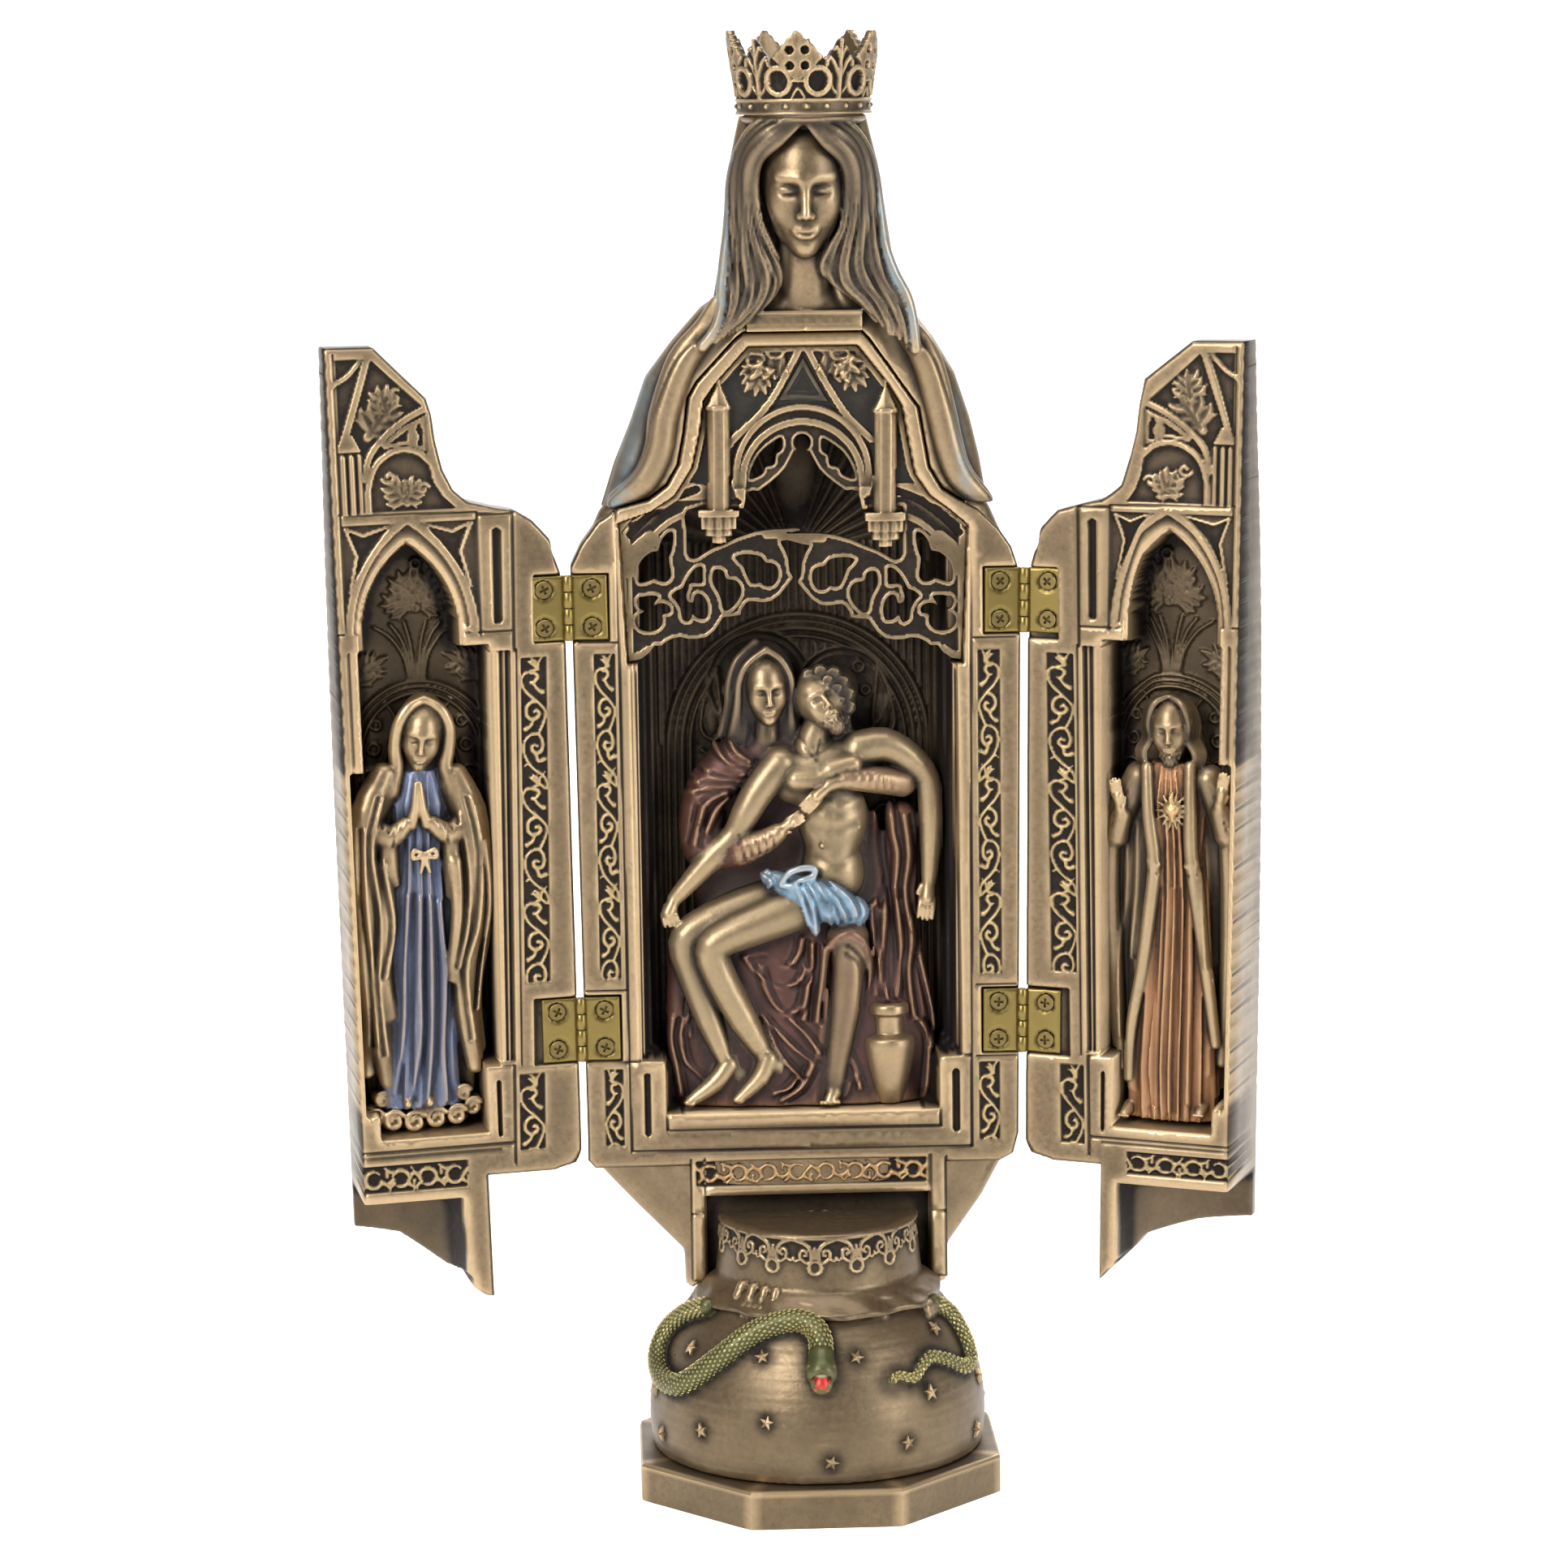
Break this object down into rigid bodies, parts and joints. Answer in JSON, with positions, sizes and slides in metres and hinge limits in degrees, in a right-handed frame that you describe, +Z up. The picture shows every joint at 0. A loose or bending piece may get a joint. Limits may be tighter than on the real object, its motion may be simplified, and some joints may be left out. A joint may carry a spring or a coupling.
{
  "type": "pieta polyptych",
  "caption": "Crowned shrine figure on a star globe; a pair of hinged doors opens on a Gothic niche with a seated group, and each door holds a figure.",
  "frame": {"origin": "centre of the plinth's flat underside", "axes": "+Z up to the crown, -Y towards the viewer, +X to the viewer's right"},
  "size_m": [0.1865, 0.072, 0.29],
  "materials": {
    "plinth_bronze": "brown patinated cold-cast bronze, satin",
    "globe_bronze": "rubbed cold-cast bronze, satin, with a green painted snake",
    "robe_bronze": "rubbed cold-cast bronze with dark brown recesses and pale blue streaks",
    "crown_bronze": "rubbed cold-cast bronze with dark recesses",
    "tracery_bronze": "dark stippled ground with rubbed raised lines",
    "group_bronze": "rubbed cold-cast bronze with maroon and pale blue painted cloth",
    "door_bronze": "rubbed cold-cast bronze with gilded scrolls on a dark ground",
    "blue_washed_bronze": "cold-cast bronze with a blue painted dress",
    "copper_washed_bronze": "cold-cast bronze with a copper-orange painted robe",
    "hinge_brass": "lightly scratched yellow brass",
    "screw_brass": "brass countersunk heads with a cross recess"
  },
  "bodies": {
    "statue": {"octagonal_plinth": "plinth_bronze", "star_globe_with_snake": "globe_bronze", "madonna_body": "robe_bronze", "crown": "crown_bronze", "tracery_panel": "tracery_bronze", "pieta_group": "group_bronze", "left_upper_hinge_statue_leaf": "hinge_brass", "left_upper_hinge_pin": "hinge_brass", "left_upper_hinge_statue_screw_1": "screw_brass", "left_upper_hinge_statue_screw_2": "screw_brass", "left_lower_hinge_statue_leaf": "hinge_brass", "left_lower_hinge_pin": "hinge_brass", "left_lower_hinge_statue_screw_1": "screw_brass", "left_lower_hinge_statue_screw_2": "screw_brass", "right_upper_hinge_statue_leaf": "hinge_brass", "right_upper_hinge_pin": "hinge_brass", "right_upper_hinge_statue_screw_1": "screw_brass", "right_upper_hinge_statue_screw_2": "screw_brass", "right_lower_hinge_statue_leaf": "hinge_brass", "right_lower_hinge_pin": "hinge_brass", "right_lower_hinge_statue_screw_1": "screw_brass", "right_lower_hinge_statue_screw_2": "screw_brass"},
    "left_door": {"left_door": "door_bronze", "praying_woman": "blue_washed_bronze", "left_upper_hinge_door_leaf": "hinge_brass", "left_upper_hinge_door_screw_1": "screw_brass", "left_upper_hinge_door_screw_2": "screw_brass", "left_lower_hinge_door_leaf": "hinge_brass", "left_lower_hinge_door_screw_1": "screw_brass", "left_lower_hinge_door_screw_2": "screw_brass"},
    "right_door": {"right_door": "door_bronze", "blessing_man": "copper_washed_bronze", "right_upper_hinge_door_leaf": "hinge_brass", "right_upper_hinge_door_screw_1": "screw_brass", "right_upper_hinge_door_screw_2": "screw_brass", "right_lower_hinge_door_leaf": "hinge_brass", "right_lower_hinge_door_screw_1": "screw_brass", "right_lower_hinge_door_screw_2": "screw_brass"}
  },
  "joints": [
    {"name": "left_door_hinge", "type": "hinge", "parent": "statue", "child": "left_door", "pos_m": [-0.04707, -0.0003, 0.17806], "axis": [-0.0101, 0, 0.9999], "range_deg": [-9.2, 170.8]},
    {"name": "right_door_hinge", "type": "hinge", "parent": "statue", "child": "right_door", "pos_m": [0.04299, -0.0003, 0.17806], "axis": [-0.0101, 0, -0.9999], "range_deg": [-21.4, 158.6]}
  ]
}
